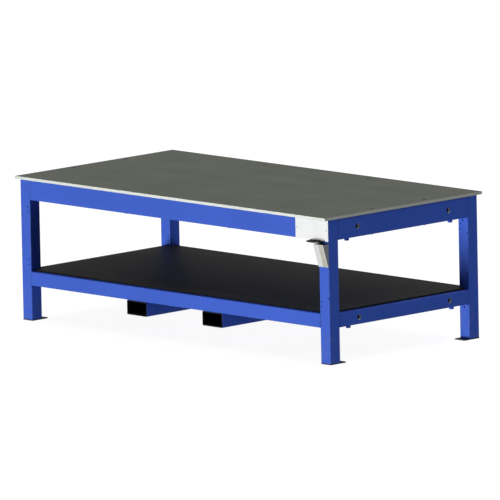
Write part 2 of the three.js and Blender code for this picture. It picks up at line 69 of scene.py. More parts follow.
class Shader:
    """A material's node tree in the making, with a Principled surface."""

    def __init__(self, name, roughness, metallic=0.0, specular=0.5):
        self.material = bpy.data.materials.new(name)
        self.material.use_nodes = True
        self.tree = self.material.node_tree
        self.tree.nodes.clear()
        self.surface = self.add("ShaderNodeBsdfPrincipled")
        self.surface.inputs["Roughness"].default_value = roughness
        self.surface.inputs["Metallic"].default_value = metallic
        self.surface.inputs["Specular IOR Level"].default_value = specular
        output = self.add("ShaderNodeOutputMaterial")
        self.link(self.surface.outputs[0], output.inputs["Surface"])
        self.place = self.add("ShaderNodeTexCoord").outputs["Object"]

    def add(self, kind, **settings):
        node = self.tree.nodes.new(kind)
        for name, value in settings.items():
            setattr(node, name, value)
        return node

    def link(self, source, target):
        self.tree.links.new(source, target)

    def give(self, socket, value):
        """Sets a socket from another socket, a colour or a number."""
        if isinstance(value, bpy.types.NodeSocket):
            self.link(value, socket)
        elif isinstance(value, tuple):
            socket.default_value = (*value, 1.0)
        else:
            socket.default_value = value

    def noise(self, scale, stretch=(1, 1, 1), detail=3.0, rough=0.5, distortion=0.0):
        """Noise with so many waves to the metre, along each axis by its stretch."""
        mapping = self.add("ShaderNodeMapping")
        mapping.inputs["Scale"].default_value = stretch
        self.link(self.place, mapping.inputs["Vector"])
        node = self.add("ShaderNodeTexNoise")
        node.inputs["Scale"].default_value = scale
        node.inputs["Detail"].default_value = detail
        node.inputs["Roughness"].default_value = rough
        node.inputs["Distortion"].default_value = distortion
        self.link(mapping.outputs[0], node.inputs["Vector"])
        return node.outputs[0]

    def height(self):
        """The height above the floor, in metres."""
        node = self.add("ShaderNodeSeparateXYZ")
        self.link(self.place, node.inputs[0])
        return node.outputs["Z"]

    def span(self, value, start, end, low=0.0, high=1.0):
        """Value from start to end, spread over low to high and held there."""
        node = self.add("ShaderNodeMapRange")
        self.link(value, node.inputs["Value"])
        for name, number in (("From Min", start), ("From Max", end), ("To Min", low), ("To Max", high)):
            node.inputs[name].default_value = number
        return node.outputs[0]

    def times(self, first, second):
        node = self.add("ShaderNodeMath", operation="MULTIPLY")
        self.give(node.inputs[0], first)
        self.give(node.inputs[1], second)
        return node.outputs[0]

    def mix(self, factor, first, second):
        """One colour blended into another; inputs 6 and 7 and output 2 are the node's colour sockets."""
        node = self.add("ShaderNodeMix", data_type="RGBA")
        self.give(node.inputs[0], factor)
        self.give(node.inputs[6], first)
        self.give(node.inputs[7], second)
        return node.outputs[2]

    def edge(self):
        """1 on a rounded edge and 0 on the faces beside it."""
        return self.add("ShaderNodeAttribute", attribute_name="edge").outputs["Fac"]

    def colour(self, value):
        self.give(self.surface.inputs["Base Color"], value)

    def roughness(self, value):
        self.give(self.surface.inputs["Roughness"], value)

    def bump(self, height, distance, strength=0.5):
        node = self.add("ShaderNodeBump")
        node.inputs["Strength"].default_value = strength
        node.inputs["Distance"].default_value = distance
        self.link(height, node.inputs["Height"])
        self.link(node.outputs[0], self.surface.inputs["Normal"])


def shade(colour, by):
    return tuple(channel * by for channel in colour)


# Materials: noise scales are waves to the metre, bump distances are metres

def powder_coat(name, colour, worn, roughness):
    """Powder coat: orange peel, slight changes of tone, rubbed edges and dust low down."""
    dust = (0.22, 0.22, 0.23)
    dust_from, dust_to = 0.02, 0.22
    s = Shader(name, roughness, specular=0.08)
    tone = s.mix(s.span(s.noise(1.7, detail=4), *MIDDLE), shade(colour, 0.95), shade(colour, 1.05))
    rubbed = s.times(s.edge(), s.span(s.noise(70, detail=4), 0.50, 0.72, 0.0, 0.65))
    tone = s.mix(rubbed, tone, worn)
    low_down = s.span(s.height(), dust_from, dust_to, 0.30, 0.0)
    dusty = s.times(low_down, s.span(s.noise(26, detail=5), 0.45, 0.7))
    s.colour(s.mix(dusty, tone, dust))
    s.roughness(s.span(s.noise(9, detail=5), *MIDDLE, roughness - 0.05, roughness + 0.07))
    s.bump(s.noise(420, detail=1.5), 0.00012)
    return s.material


def rolled_plate():
    """Bare rolled plate: long rolling lines, broad bands, clouds and scuffs from use."""
    band_dark, band_light = (0.193, 0.206, 0.176), (0.214, 0.225, 0.193)
    cloud, line, scuff = (0.176, 0.187, 0.159), (0.241, 0.251, 0.218), (0.291, 0.301, 0.271)
    s = Shader("rolled_plate", 0.6, metallic=0.10, specular=0.06)
    lines = s.noise(1.0, stretch=(1.6, 150, 150), detail=5, rough=0.6)
    bands = s.noise(1.0, stretch=(0.35, 6.5, 6.5), detail=3)
    clouds = s.noise(2.4, detail=6, rough=0.6)
    tone = s.mix(s.span(bands, *MIDDLE), band_dark, band_light)
    tone = s.mix(s.span(clouds, 0.42, 0.75, 0.0, 0.5), tone, cloud)
    tone = s.mix(s.span(lines, 0.35, 0.75, 0.0, 0.40), tone, line)
    scuffs = s.noise(1.0, stretch=(9, 260, 260), detail=2, distortion=0.6)
    s.colour(s.mix(s.span(scuffs, 0.70, 0.78, 0.0, 0.5), tone, scuff))
    s.roughness(s.span(clouds, *MIDDLE, 0.55, 0.70))
    s.bump(lines, 0.00006)
    return s.material


def cut_edge():
    """The plate's cut edge: bright metal with fine marks straight down it."""
    dark, light, stain = (0.42, 0.44, 0.42), (0.54, 0.56, 0.53), (0.36, 0.37, 0.35)
    s = Shader("cut_edge", 0.36, metallic=0.9, specular=0.2)
    marks = s.noise(1.0, stretch=(520, 520, 14), detail=3)
    tone = s.mix(s.span(marks, *MIDDLE), dark, light)
    s.colour(s.mix(s.span(s.noise(16, detail=4), 0.55, 0.75, 0.0, 0.3), tone, stain))
    s.roughness(s.span(marks, *MIDDLE, 0.31, 0.42))
    s.bump(marks, 0.00010)
    return s.material


def film_board():
    """Black film face: a faint lengthwise grain printed through, and rubbed streaks."""
    dark, light = (0.0176, 0.0166, 0.0140), (0.0350, 0.0333, 0.0275)
    streak, scuff = (0.049, 0.046, 0.038), (0.070, 0.066, 0.057)
    s = Shader("film_board", 0.54, specular=0.08)
    grain = s.noise(1.0, stretch=(2.2, 85, 85), detail=6, rough=0.62, distortion=0.35)
    streaks = s.noise(1.0, stretch=(0.55, 11, 11), detail=4)
    tone = s.mix(s.span(grain, *MIDDLE), dark, light)
    tone = s.mix(s.span(streaks, 0.5, 0.78, 0.0, 0.45), tone, streak)
    scuffs = s.noise(14, detail=6, rough=0.7)
    s.colour(s.mix(s.span(scuffs, 0.62, 0.8, 0.0, 0.3), tone, scuff))
    s.roughness(s.span(grain, *MIDDLE, 0.46, 0.62))
    s.bump(grain, 0.00018)
    return s.material


def ply_edge():
    """The board's sealed edge, with its plies showing as lines."""
    dark, light, seal = (0.0085, 0.0075, 0.0065), (0.0240, 0.0200, 0.0165), (0.0090, 0.0085, 0.0080)
    s = Shader("ply_edge", 0.65, specular=0.08)
    plies = s.noise(1.0, stretch=(3, 3, 760), detail=0.5)
    tone = s.mix(s.span(plies, 0.44, 0.56), dark, light)
    s.colour(s.mix(s.span(s.noise(45, detail=4), 0.5, 0.7, 0.0, 0.5), tone, seal))
    s.roughness(s.span(plies, *MIDDLE, 0.5, 0.72))
    s.bump(plies, 0.0002)
    return s.material


def black_enamel():
    """Satin black paint of the foot plates, scuffed grey on its edges."""
    dark, light, worn = (0.0075, 0.0075, 0.0080), (0.0160, 0.0160, 0.0165), (0.16, 0.16, 0.165)
    s = Shader("black_enamel", 0.45, specular=0.4)
    tone = s.mix(s.span(s.noise(18, detail=5), 0.35, 0.7), dark, light)
    rubbed = s.times(s.edge(), s.span(s.noise(150, detail=3), 0.5, 0.68, 0.0, 0.8))
    s.colour(s.mix(rubbed, tone, worn))
    s.roughness(s.span(s.noise(30, detail=4), *MIDDLE, 0.38, 0.58))
    s.bump(s.noise(300, detail=2), 0.00015)
    return s.material


def bare_metal(name, dark, light, stretch, roughness, metallic=1.0, specular=0.3):
    """Bare metal with a directional grain: waves to the metre along each axis."""
    s = Shader(name, roughness, metallic=metallic, specular=specular)
    grain = s.noise(1.0, stretch=stretch, detail=4, rough=0.6)
    smear = s.noise(22, detail=4)
    tone = s.mix(s.span(grain, *MIDDLE), dark, light)
    s.colour(s.mix(s.span(smear, 0.5, 0.8, 0.0, 0.35), tone, shade(dark, 0.82)))
    s.roughness(s.span(grain, *MIDDLE, roughness - 0.06, roughness + 0.08))
    s.bump(grain, 0.00006, 0.6)
    return s.material


def black_oxide():
    """Blackened steel, worn to bare metal along its rim."""
    dark, light, worn = (0.0070, 0.0070, 0.0070), (0.0150, 0.0150, 0.0145), (0.20, 0.20, 0.19)
    s = Shader("black_oxide", 0.6, specular=0.06)
    tone = s.mix(s.span(s.noise(60, detail=4), *MIDDLE), dark, light)
    rubbed = s.times(s.edge(), s.span(s.noise(210, detail=3), 0.50, 0.70, 0.0, 0.5))
    s.colour(s.mix(rubbed, tone, worn))
    s.roughness(s.span(s.noise(90, detail=3), *MIDDLE, 0.52, 0.68))
    s.bump(s.noise(700, detail=2), 0.00005)
    return s.material


def tube_inside_shade():
    """Near black with a faint blue tint: painted shade for the inside of a tube, its holes and its open ends.
    """
    dark, light = (0.0040, 0.0045, 0.0065), (0.0090, 0.0100, 0.0160)
    s = Shader("tube_inside_shade", 0.75, specular=0.2)
    s.colour(s.mix(s.span(s.noise(30, detail=5), 0.35, 0.7), dark, light))
    s.roughness(s.span(s.noise(50, detail=3), *MIDDLE, 0.65, 0.85))
    s.bump(s.noise(160, detail=3), 0.0003)
    return s.material


BLUE = (0.052, 0.130, 0.650)
frame_blue = powder_coat("frame_blue", BLUE, (0.16, 0.26, 0.74), 0.44)
# The weld beads' blue is the frame's blue darkened: painted shade along the seams
weld_shade_blue = powder_coat("weld_shade_blue", shade(BLUE, 0.55), (0.12, 0.20, 0.60), 0.50)
plate_steel = rolled_plate()
plate_edge = cut_edge()
shelf_film = film_board()
shelf_edge = ply_edge()
foot_black = black_enamel()

# Bare metals by their grain: plated, turned about X, brushed along X and brushed upright
PLATED = (90, 90, 90)
TURNED = (900, 12, 12)
LENGTHWISE = (5, 5, 900)
UPRIGHT = (800, 800, 7)
zinc = bare_metal("zinc", (0.52, 0.53, 0.51), (0.68, 0.69, 0.66), PLATED, 0.36)
# The top bolts' plating, made nearly black
dull_zinc = bare_metal(
    "dull_zinc", (0.020, 0.019, 0.018), (0.045, 0.044, 0.042), PLATED, 0.6, metallic=0.5)
turned_steel = bare_metal(
    "turned_steel", (0.84, 0.85, 0.86), (0.94, 0.95, 0.96), TURNED, 0.40, metallic=0.10)
aluminium = bare_metal(
    "aluminium", (0.86, 0.87, 0.88), (0.95, 0.955, 0.96), LENGTHWISE, 0.55, metallic=0.08, specular=0.1)
stainless = bare_metal(
    "stainless", (0.74, 0.76, 0.75), (0.90, 0.91, 0.90), UPRIGHT, 0.36, metallic=0.45)
# A darker, beige copy of the stainless for the catcher's pressed panel: painted shade and painted reflection
stainless_panel_shade = bare_metal(
    "stainless_panel_shade", (0.40, 0.395, 0.32), (0.56, 0.55, 0.47), UPRIGHT, 0.40, metallic=0.35)
# A darker copy of the stainless for the catcher's sides and rim: painted shade
stainless_side_shade = bare_metal(
    "stainless_side_shade", (0.24, 0.26, 0.29), (0.34, 0.36, 0.39), UPRIGHT, 0.42, metallic=0.45)
# A near-black copy of the stainless for the catcher's inside: painted shade
stainless_inside_shade = bare_metal(
    "stainless_inside_shade", (0.030, 0.030, 0.030), (0.050, 0.050, 0.048), UPRIGHT, 0.6, metallic=0.3)
oxide = black_oxide()
inside_painted_shade = tube_inside_shade()


# Mesh building

def put(axis, u, v, w):
    """A point from two places across an axis and one along it."""
    if axis == "x":
        return Vector((w, u, v))
    if axis == "y":
        return Vector((u, w, v))
    return Vector((u, v, w))


def across(axis, point):
    """A point's two places across an axis and its place along it."""
    along = AXES.index(axis)
    u, v = [point[k] for k in range(3) if k != along]
    return u, v, point[along]


def span_of(node, axis):
    """A node's lowest and highest corner, each as places across an axis and along it."""
    low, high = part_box(node)
    return across(axis, low), across(axis, high)


def middle_of(node):
    low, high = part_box(node)
    return (low + high) / 2


def rounded(u0, u1, v0, v1, radius):
    """Outline of a rectangle with round corners."""
    corners = ((u1 - radius, v1 - radius), (u0 + radius, v1 - radius),
               (u0 + radius, v0 + radius), (u1 - radius, v0 + radius))
    points = []
    for quarter, (u, v) in enumerate(corners):
        for step in range(CORNER_STEPS + 1):
            angle = math.pi / 2 * (quarter + step / CORNER_STEPS)
            points.append((u + radius * math.cos(angle), v + radius * math.sin(angle)))
    return points


def turns(sides):
    """Angles evenly round a circle."""
    return [2 * math.pi * k / sides for k in range(sides)]


def circle(u, v, radius, sides=ROUND):
    return [(u + radius * math.cos(angle), v + radius * math.sin(angle)) for angle in turns(sides)]


def hexagon_radius(flats, angle):
    """How far a hexagon reaches at an angle, from its width across flats."""
    return flats / 2 / math.cos(angle % (math.pi / 3) - math.pi / 6)


def hexagon(u, v, flats):
    """A hexagon of as many points as a circle has, so that the two can be joined."""
    points = []
    for angle in turns(ROUND):
        radius = hexagon_radius(flats, angle)
        points.append((u + radius * math.cos(angle), v + radius * math.sin(angle)))
    return points


def ring(bm, axis, outline, w):
    return [bm.verts.new(put(axis, u, v, w)) for u, v in outline]


def skin(bm, first, second, material=0):
    """Faces between two rings of as many points, or from a ring to one point."""
    count = max(len(first), len(second))
    for i in range(count):
        j = (i + 1) % count
        if len(first) == 1:
            corners = (first[0], second[j], second[i])
        elif len(second) == 1:
            corners = (first[i], first[j], second[0])
        else:
            corners = (first[i], first[j], second[j], second[i])
        bm.faces.new(corners).material_index = material


def stack(bm, rings):
    """Faces along a row of rings, closed at both ends."""
    bm.faces.new(rings[0])
    bm.faces.new(rings[-1])
    for first, second in zip(rings, rings[1:]):
        skin(bm, first, second)


def rings_of(bm, axis, u, v, profile):
    """Rings about one line: each a circle by its radius or a hexagon by its flats, and its place."""
    return [ring(bm, axis, shape(u, v, size), w) for shape, size, w in profile]


def lathe(bm, axis, centre, outline, sides=ROUND, closed=False, material=0):
    """A round solid from its half outline: pairs of radius and place along the axis."""
    u, v, w = across(axis, centre)
    rings = []
    for radius, along in outline:
        if radius == 0:
            rings.append([bm.verts.new(put(axis, u, v, w + along))])
        else:
            rings.append(ring(bm, axis, circle(u, v, radius, sides), w + along))
    for first, second in zip(rings, rings[1:]):
        skin(bm, first, second, material)
    if closed:
        skin(bm, rings[-1], rings[0], material)


def bevel(bm, edges, width):
    bmesh.ops.bevel(bm, geom=edges, offset=width, segments=BEVEL_SEGMENTS, profile=0.5, affect="EDGES")


def block(low, high, edge):
    """A box with small round edges."""
    bm = bmesh.new()
    middle = (low + high) / 2
    bmesh.ops.create_cube(bm, size=1, matrix=Matrix.Translation(middle) @ Matrix.Diagonal((*(high - low), 1)))
    bevel(bm, bm.edges[:], edge)
    return bm


def slab(axis, outline, start, end, edge):
    """A flat piece from its outline, with its two rims rounded."""
    bm = bmesh.new()
    first = ring(bm, axis, outline, start)
    second = ring(bm, axis, outline, end)
    skin(bm, first, second)
    caps = [bm.faces.new(first), bm.faces.new(list(reversed(second)))]
    rims = {rim for cap in caps for rim in cap.edges}
    bmesh.ops.recalc_face_normals(bm, faces=bm.faces)
    bevel(bm, list(rims), edge)
    return bm


def level_faces(bm):
    """Gives a sheet's top and bottom its first material and its edges the second."""
    for face in bm.faces:
        face.material_index = 0 if abs(face.normal.z) > LEVEL else 1


def raw(name, bm, *materials):
    """An object from a mesh in the making."""
    bmesh.ops.recalc_face_normals(bm, faces=bm.faces)
    mesh = bpy.data.meshes.new(name)
    bm.to_mesh(mesh)
    bm.free()
    for material in materials:
        mesh.materials.append(material)
    obj = bpy.data.objects.new(name, mesh)
    scene.collection.objects.link(obj)
    return obj


def carve(obj, cutters):
    """Cuts a mesh of closed solids out of a piece."""
    tool = raw("cutter", cutters, *obj.data.materials)
    change = obj.modifiers.new("carve", "BOOLEAN")
    change.object = tool
    change.operation = "DIFFERENCE"
    change.solver = "EXACT"
    settled = obj.evaluated_get(bpy.context.evaluated_depsgraph_get())
    mesh = bpy.data.meshes.new_from_object(settled)
    obj.modifiers.clear()
    before, obj.data = obj.data, mesh
    mesh.name = obj.name
    bpy.data.meshes.remove(before)
    bpy.data.meshes.remove(tool.data)


def hole(bm, axis, centre, radius, length, material=0):
    """A round cutter, as long as given, about a centre."""
    outline = [(0, -length / 2), (radius, -length / 2), (radius, length / 2), (0, length / 2)]
    lathe(bm, axis, centre, outline, material=material)


def cut_through(bm, axis, outline, start, end):
    """A cutter of any outline, from one place along an axis to another."""
    stack(bm, [ring(bm, axis, outline, start), ring(bm, axis, outline, end)])


def is_flat(face, skip):
    """Whether a face looks straight along an axis, other than the one to skip."""
    return any(abs(face.normal[k]) > FLAT for k in range(3) if k != skip)


def settle(obj, slot, *nodes, body=TABLE, along=None, sharp=35):
    """Smooths a piece between its sharp edges, marks its rounded edges, and ties it to the frame."""
    bm = bmesh.new()
    bm.from_mesh(obj.data)
    bm.normal_update()
    skip = AXES.index(along) if along else None
    marks = bm.verts.layers.float.new("edge")
    for face in bm.faces:
        face.smooth = True
    for edge in bm.edges:
        edge.smooth = len(edge.link_faces) == 2 and edge.calc_face_angle(0) < math.radians(sharp)
    for vert in bm.verts:
        beside = [face for face in vert.link_faces if skip is None or abs(face.normal[skip]) < FLAT]
        vert[marks] = 0.0 if any(is_flat(face, skip) for face in beside) else 1.0
    bm.to_mesh(obj.data)
    bm.free()
    even = obj.modifiers.new("even_shading", "WEIGHTED_NORMAL")
    even.keep_sharp = True
    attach(obj, body)
    if nodes:
        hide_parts(*nodes)
    return obj


# Frame tubes: corner radius and walls, and their materials

TUBE_RADIUS = 0.006
TUBE_WALL = 0.004
POCKET_WALL = 0.005
INNER_RADIUS = 0.0015
# The second material is near black: painted shade inside the tubes, in their holes and on the fork pockets'
# open ends
PAINTED, DARK_SHADE = 0, 1

# A cutter for one wall of a tube is this long, and one through a whole tube is longer than it by this much
WALL_CUTTER = 0.008
CUTTER_SPARE = 0.004

top_rail_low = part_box("top_rail_front")[0]
shelf_rail_low, shelf_rail_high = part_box("shelf_rail_front")
TOP_RAIL_BOTTOM = top_rail_low.z
SHELF_RAIL_TOP = shelf_rail_high.z
SHELF_RAIL_BOTTOM = shelf_rail_low.z

# Holes of the legs, as in the frame: a pair and a single one off each rail, and a tie hole under each
LEG_HOLE = 0.004
TIE_HOLE = 0.005
PAIR_FROM_INNER = 0.017
PAIR_OFF_RAIL = (0.039, 0.066)
SINGLE_FROM_OUTER = 0.0085
SINGLE_OFF_RAIL = 0.086
TIE_UNDER_RAIL = 0.018

# Play of a sleeve in its rail
BUSH_FIT = 0.0001


def tube(node, axis, wall=TUBE_WALL, cutters=None, rim=PAINTED):
    """A box tube with round corners in the place of a CAD tube, with its holes; rim is its ends' material."""
    (u0, v0, w0), (u1, v1, w1) = span_of(node, axis)
    outer = rounded(u0, u1, v0, v1, TUBE_RADIUS)
    inner = rounded(u0 + wall, u1 - wall, v0 + wall, v1 - wall, max(TUBE_RADIUS - wall, INNER_RADIUS))
    bm = bmesh.new()
    outside = [ring(bm, axis, outer, w) for w in (w0, w1)]
    inside = [ring(bm, axis, inner, w) for w in (w0, w1)]
    skin(bm, *outside, material=PAINTED)
    # Inner walls near black: painted shade
    skin(bm, *inside, material=DARK_SHADE)
    for outer_end, inner_end in zip(outside, inside):
        skin(bm, outer_end, inner_end, material=rim)
    piece = raw(node + "_tube", bm, frame_blue, inside_painted_shade)
    if cutters:
        carve(piece, cutters)
    return settle(piece, "frame_paint", node, along=axis)


def leg(name_y, side_y, name_x, side_x):
    """A leg with the holes through its front and back, and the tie holes in its inner face."""
    node = f"leg_{name_y}_{name_x}"
    low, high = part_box(node)
    middle = (low + high) / 2
    size = high.x - low.x
    pair_x = middle.x + side_x * (PAIR_FROM_INNER - size / 2)
    single_x = middle.x + side_x * (size / 2 - SINGLE_FROM_OUTER)
    places = [(pair_x, off) for off in PAIR_OFF_RAIL] + [(single_x, SINGLE_OFF_RAIL)]
    cutters = bmesh.new()
    # The holes' walls take the near-black inside material: painted shade
    for x, off in places:
        for z in (TOP_RAIL_BOTTOM - off, SHELF_RAIL_TOP + off):
            hole(cutters, "y", (x, middle.y, z), LEG_HOLE, size + CUTTER_SPARE, DARK_SHADE)
    inner_y = middle.y - side_y * (size - TUBE_WALL) / 2
    for z in (TOP_RAIL_BOTTOM - TIE_UNDER_RAIL, SHELF_RAIL_BOTTOM - TIE_UNDER_RAIL):
        hole(cutters, "y", (middle.x, inner_y, z), TIE_HOLE, WALL_CUTTER, DARK_SHADE)
    tube(node, "z", cutters=cutters)


def side_rail(node, side_x, level, name_x):
    """A rail across an end of the table, with the holes for its sleeves."""
    cutters = bmesh.new()
    for name_y, _ in ENDS:
        low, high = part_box(f"side_bush_{name_x}_{level}_{name_y}")
        middle = (low + high) / 2
        wall_x = (high.x if side_x > 0 else low.x) - side_x * TUBE_WALL / 2
        radius = (high.z - low.z) / 2 + BUSH_FIT
        hole(cutters, "x", (wall_x, middle.y, middle.z), radius, WALL_CUTTER)
    tube(node, "y", cutters=cutters)


for name_y, side_y in ENDS:
    for name_x, side_x in SIDES:
        leg(name_y, side_y, name_x, side_x)
    tube(f"top_rail_{name_y}", "x")
    tube(f"shelf_rail_{name_y}", "x")
for name_x, side_x in SIDES:
    side_rail(f"top_rail_{name_x}", side_x, "upper", name_x)
    side_rail(f"shelf_rail_{name_x}", side_x, "lower", name_x)
    tube(f"top_joist_{name_x}", "y")
    tube(f"shelf_joist_{name_x}", "y")
    # The fork pockets' open ends are near black: painted shade
    tube(f"fork_pocket_{name_x}", "y", POCKET_WALL, rim=DARK_SHADE)


# Weld beads: radii of the usual bead, a thin one, one round a leg's foot, and one towards the foot's reach

WELD = 0.0032
THIN_WELD = 0.0028
FOOT_WELD = 0.0022
REACH_WELD = 0.0036

# Ripples of a bead, how its ends taper, and how it strays from its line
RIPPLE = 0.0036
RIPPLE_DEPTH = 0.12
RINGS_PER_RIPPLE = 3
FEWEST_RINGS = 8
TAPER = 0.005
TAPER_FROM = 0.4
STRAY = 0.0003
STRAY_WAVES = 260
STRAY_PHASE = (57, 31, 91)


def bead(bm, start, end, radius=WELD):
    """A rippled bead of weld from one point to another, strayed differently at each place."""
    start, end = Vector(start), Vector(end)
    length = (end - start).length
    direction = (end - start) / length
    side = direction.orthogonal().normalized()
    up = direction.cross(side)
    phase = sum(place * turn for place, turn in zip(start, STRAY_PHASE))
    count = max(FEWEST_RINGS, int(length / (RIPPLE / RINGS_PER_RIPPLE)))
    rings = []
    for k in range(count + 1):
        along = length * k / count
        near_end = min(along, length - along)
        wave = 1 - RIPPLE_DEPTH + RIPPLE_DEPTH * abs(math.cos(math.pi * along / RIPPLE))
        size = radius * wave * min(1.0, TAPER_FROM + near_end / TAPER)
        drift = STRAY * math.sin(along * STRAY_WAVES + phase)
        centre = start + direction * along + side * drift
        rings.append([bm.verts.new(centre + size * (math.cos(turn) * side + math.sin(turn) * up))
                      for turn in turns(BEAD_SIDES)])
    stack(bm, rings)


def rail_end_beads(bm, node, axis):
    """Beads down both sides of each end of a rail, and along the bottom."""
    beyond, tuck, off_bottom, off_top = 0.0022, 0.0030, 0.004, 0.002
    short_of, below, off_side = 0.0008, 0.0004, 0.008
    (u0, v0, w0), (u1, v1, w1) = span_of(node, axis)
    for w, outwards in ((w0, -1), (w1, 1)):
        seam = w + outwards * beyond
        for u in (u0 + tuck, u1 - tuck):
            bead(bm, put(axis, u, v0 + off_bottom, seam), put(axis, u, v1 - off_top, seam))
        seam = w - outwards * short_of
        start = put(axis, u0 + off_side, v0 - below, seam)
        end = put(axis, u1 - off_side, v0 - below, seam)
        bead(bm, start, end, THIN_WELD)


def foot_beads(bm, name_y, side_y, name_x):
    """Beads round the bottom of a leg, on its foot plate."""
    lift, tuck, off_corner = 0.0006, 0.0012, 0.007
    reach_tuck, reach_lift, reach_off_corner = 0.001, 0.001, 0.004
    low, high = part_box(f"leg_{name_y}_{name_x}")
    z = low.z + lift
    for x in (low.x + tuck, high.x - tuck):
        bead(bm, (x, low.y + off_corner, z), (x, high.y - off_corner, z), FOOT_WELD)
    outer, inner = (low.y, high.y) if side_y < 0 else (high.y, low.y)
    y = outer - side_y * tuck
    bead(bm, (low.x + off_corner, y, z), (high.x - off_corner, y, z), FOOT_WELD)
    y, z = inner - side_y * reach_tuck, z + reach_lift
    bead(bm, (low.x + reach_off_corner, y, z), (high.x - reach_off_corner, y, z), REACH_WELD)


def pocket_beads(bm, name_x):
    """Beads between a fork pocket and the rails above it."""
    tuck, under, off_end = 0.0015, 0.0012, 0.006
    end_tuck, end_over = 0.0028, 0.0016
    low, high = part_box(f"fork_pocket_{name_x}")
    for name_y, side_y in ENDS:
        rail_low, rail_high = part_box(f"shelf_rail_{name_y}")
        z = high.z - under
        for x in (low.x + tuck, high.x - tuck):
            bead(bm, (x, rail_low.y + off_end, z), (x, rail_high.y - off_end, z))
        y = (rail_low.y if side_y < 0 else rail_high.y) - side_y * end_tuck
        z = high.z + end_over
        bead(bm, (low.x + off_end, y, z), (high.x - off_end, y, z), THIN_WELD)


welds = bmesh.new()
for name_y, side_y in ENDS:
    rail_end_beads(welds, f"top_rail_{name_y}", "x")
    rail_end_beads(welds, f"shelf_rail_{name_y}", "x")
    for name_x, _ in SIDES:
        foot_beads(welds, name_y, side_y, name_x)
for name_x, _ in SIDES:
    for kind in ("top_rail", "shelf_rail", "top_joist", "shelf_joist"):
        rail_end_beads(welds, f"{kind}_{name_x}", "y")
    pocket_beads(welds, name_x)
# The beads' darker blue draws painted shade along each seam
settle(raw("weld_beads", welds, weld_shade_blue), "frame_paint", sharp=80)


# Top plate and its countersunk bolts: radii of head and shank, socket across flats, and depths from the top

BOLT_NODES = [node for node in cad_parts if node.startswith("top_bolt_")]
PLATE_EDGE = 0.0010
BOLT_HEAD = 0.010
BOLT_SHANK = 0.005
BOLT_SOCKET = 0.006
BOLT_RIM_DEPTH = 0.0012
BOLT_HEAD_DEPTH = 0.0062
SOCKET_DEPTH = 0.0038
SOCKET_FLOOR = 0.0035
BOLT_BREAK = 0.0004

# Play of a bolt in the plate, beside it and under its head, and its cutter's reach from the plate's top
BOLT_FIT = 0.0005
BOLT_SEAT_FIT = 0.0003
BOLT_CUTTER_BELOW = 0.030
BOLT_CUTTER_ABOVE = 0.004

# Thread of the bolt's end, and where it starts above the rail's bottom
THREAD_PITCH = 0.0015
THREAD_DEPTH = 0.0008
THREAD_ABOVE = 0.002
BOLT_END_CHAMFER = 0.0006
BOLT_END_TAPER = 0.0016


def top_plate():
    low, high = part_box("top_plate")
    bm = block(low, high, PLATE_EDGE)
    level_faces(bm)
    plate = raw("top_plate_sheet", bm, plate_steel, plate_edge)
    rim, waist = BOLT_HEAD + BOLT_FIT, BOLT_SHANK + BOLT_FIT
    seat = BOLT_HEAD_DEPTH + BOLT_SEAT_FIT
    outline = [(0, -BOLT_CUTTER_BELOW), (waist, -BOLT_CUTTER_BELOW), (waist, -seat),
               (rim, -BOLT_RIM_DEPTH), (rim, BOLT_CUTTER_ABOVE), (0, BOLT_CUTTER_ABOVE)]
    cutters = bmesh.new()
    for node in BOLT_NODES:
        middle = middle_of(node)
        lathe(cutters, "z", (middle.x, middle.y, high.z), outline)
    carve(plate, cutters)
    settle(plate, "top_steel", "top_plate")


def top_bolt(node):
    """A countersunk bolt with a hexagon socket, and its thread where it comes out below."""
    low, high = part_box(node)
    x, y, _ = (low + high) / 2
    top = high.z
    profile = [
        (circle, SOCKET_FLOOR, top - SOCKET_DEPTH - BOLT_BREAK),
        (hexagon, BOLT_SOCKET, top - SOCKET_DEPTH),
        (hexagon, BOLT_SOCKET, top - BOLT_BREAK),
        (hexagon, BOLT_SOCKET + 2 * BOLT_BREAK, top),
        (circle, BOLT_HEAD - BOLT_BREAK, top),
        (circle, BOLT_HEAD, top - BOLT_BREAK),
        (circle, BOLT_HEAD, top - BOLT_RIM_DEPTH),
        (circle, BOLT_SHANK, top - BOLT_HEAD_DEPTH),
    ]
    z = TOP_RAIL_BOTTOM + THREAD_ABOVE
    while z > low.z + BOLT_END_TAPER:
        profile.append((circle, BOLT_SHANK, z))
        profile.append((circle, BOLT_SHANK - THREAD_DEPTH, z - THREAD_PITCH / 2))
        z -= THREAD_PITCH
    profile.append((circle, BOLT_SHANK - BOLT_END_CHAMFER, low.z + BOLT_END_CHAMFER))
    profile.append((circle, BOLT_SHANK - BOLT_END_TAPER, low.z))
    bm = bmesh.new()
    stack(bm, rings_of(bm, "z", x, y, profile))
    settle(raw(node + "_screw", bm, dull_zinc), "bolt_steel", node)


top_plate()
for node in BOLT_NODES:
    top_bolt(node)


# Shelf board

SHELF_LEG_GAP = 0.002
SHELF_EDGE = 0.0010


def shelf():
    """The board, with a notch round each leg."""
    low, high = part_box("shelf_panel")
    leg_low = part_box("leg_back_right")[0]
    notch_x, notch_y = leg_low.x - SHELF_LEG_GAP, leg_low.y - SHELF_LEG_GAP
    out_x, out_y = high.x, high.y
    outline = [(-notch_x, -out_y), (notch_x, -out_y), (notch_x, -notch_y), (out_x, -notch_y),
               (out_x, notch_y), (notch_x, notch_y), (notch_x, out_y), (-notch_x, out_y),
               (-notch_x, notch_y), (-out_x, notch_y), (-out_x, -notch_y), (-notch_x, -notch_y)]
    bm = slab("z", outline, low.z, high.z, SHELF_EDGE)
    level_faces(bm)
    settle(raw("shelf_board_sheet", bm, shelf_film, shelf_edge), "shelf_board", "shelf_panel")


shelf()


# Foot plates

FOOT_RADIUS = 0.004
FOOT_EDGE = 0.0008
ANCHOR_RADIUS = 0.007
ANCHOR_CUTTER = 0.03


